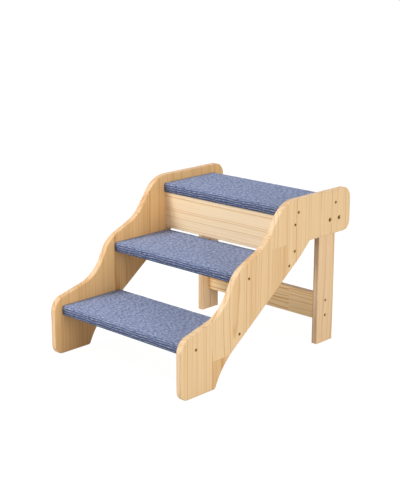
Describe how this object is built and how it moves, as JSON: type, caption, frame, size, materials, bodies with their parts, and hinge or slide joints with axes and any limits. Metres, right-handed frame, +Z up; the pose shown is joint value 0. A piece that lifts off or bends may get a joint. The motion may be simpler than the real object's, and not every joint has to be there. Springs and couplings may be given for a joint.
{
  "type": "pet stairs",
  "caption": "Wooden pet stairs: carpeted treads between two wavy side panels, propped at the back by a leg frame.",
  "frame": {"origin": "on the floor, under the middle of the stairs", "axes": "+Z up; +Y the way the stairs climb; +X to the right of someone who climbs them"},
  "size_m": [0.4, 0.543, 0.3565],
  "materials": {
    "panel_wood": "satin clear-coated pine",
    "board_wood": "bare planed pine",
    "rail_wood": "satin clear-coated pine",
    "carpet": "short looped pile, heathered blue-grey",
    "dark_bronze": "dark bronze plating",
    "zinc": "zinc-plated"
  },
  "bodies": {
    "root": {"side_panel_right": "panel_wood", "side_panel_left": "panel_wood", "tread_board_1": "board_wood", "tread_board_2": "board_wood", "tread_board_3": "board_wood", "tread_carpet_1": "carpet", "tread_carpet_2": "carpet", "tread_carpet_3": "carpet", "riser_board": "rail_wood", "rear_leg_right": "rail_wood", "rear_leg_left": "rail_wood", "leg_stretcher": "rail_wood", "tread_screws_1": "dark_bronze", "tread_screws_2": "dark_bronze", "tread_screws_3": "dark_bronze", "riser_screws": "dark_bronze", "stretcher_screws": "dark_bronze", "leg_bolts": "dark_bronze", "leg_inserts": "zinc", "carpet_staples_1": "zinc", "carpet_staples_2": "zinc", "carpet_staples_3": "zinc"}
  },
  "joints": []
}
